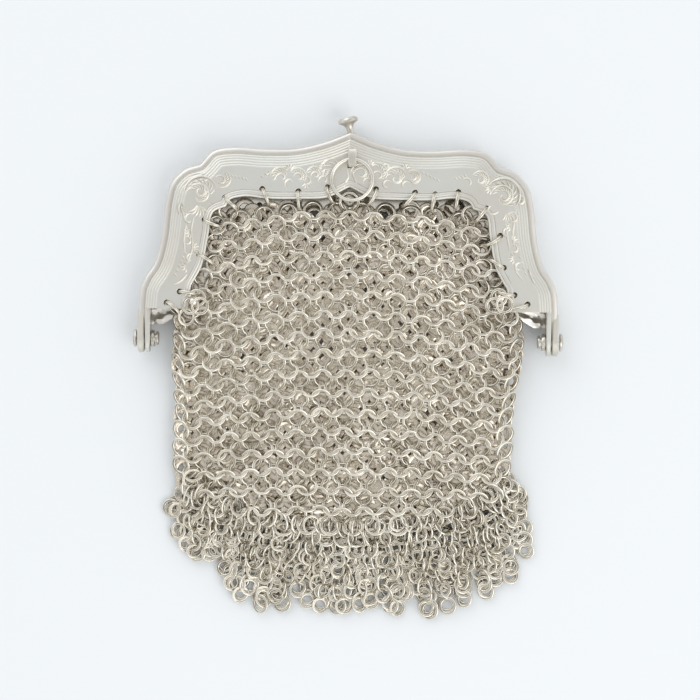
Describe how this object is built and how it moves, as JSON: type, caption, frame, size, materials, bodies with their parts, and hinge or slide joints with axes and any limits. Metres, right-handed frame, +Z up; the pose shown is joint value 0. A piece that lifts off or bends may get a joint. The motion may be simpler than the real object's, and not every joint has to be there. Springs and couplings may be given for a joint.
{
  "type": "metal mesh purse",
  "caption": "Ring mail purse with an arched hinged metal frame, push-knob clasp, small carrying ring and a fringe of ring strands, lying closed on its back.",
  "frame": {"origin": "on the surface the purse lies on, under the middle of its outline from knob to fringe", "axes": "+X across the purse to the right, +Y from the fringe towards the clasp knob, +Z up from the surface through the front plate"},
  "size_m": [0.0918, 0.1062, 0.0108],
  "materials": {
    "frame": "worn German silver, softly polished",
    "fittings": "worn German silver wire and rivets",
    "mesh": "worn German silver ring mail"
  },
  "bodies": {
    "purse": {"back_frame": "frame", "front_frame": "frame", "hinge_rivet_left": "fittings", "hinge_rivet_right": "fittings", "hinge_washer_left": "fittings", "hinge_washer_right": "fittings", "ring_staple": "fittings", "mesh_bag": "mesh", "fringe": "mesh", "jump_ring_front_01": "mesh", "jump_ring_front_02": "mesh", "jump_ring_front_03": "mesh", "jump_ring_front_04": "mesh", "jump_ring_front_05": "mesh", "jump_ring_front_06": "mesh", "jump_ring_front_07": "mesh", "jump_ring_front_08": "mesh", "jump_ring_front_09": "mesh", "jump_ring_front_10": "mesh", "jump_ring_front_11": "mesh", "jump_ring_front_12": "mesh", "jump_ring_front_13": "mesh", "jump_ring_front_14": "mesh", "jump_ring_front_15": "mesh", "jump_ring_front_16": "mesh", "jump_ring_front_17": "mesh", "jump_ring_back_01": "mesh", "jump_ring_back_02": "mesh", "jump_ring_back_03": "mesh", "jump_ring_back_04": "mesh", "jump_ring_back_05": "mesh", "jump_ring_back_06": "mesh", "jump_ring_back_07": "mesh", "jump_ring_back_08": "mesh"},
    "clasp": {"clasp_lever": "fittings"},
    "ring": {"carrying_ring": "fittings"}
  },
  "joints": [
    {"name": "clasp_release", "type": "hinge", "parent": "purse", "child": "clasp", "pos_m": [0.0015, 0.04426, 0.0042], "axis": [0, 0, -1], "range_deg": [0, 16], "stiffness_Nm_per_rad": 0.01},
    {"name": "ring_swing", "type": "hinge", "parent": "purse", "child": "ring", "pos_m": [0.0005, 0.04386, 0.00928], "axis": [-1, 0, 0], "range_deg": [0, 180]}
  ]
}
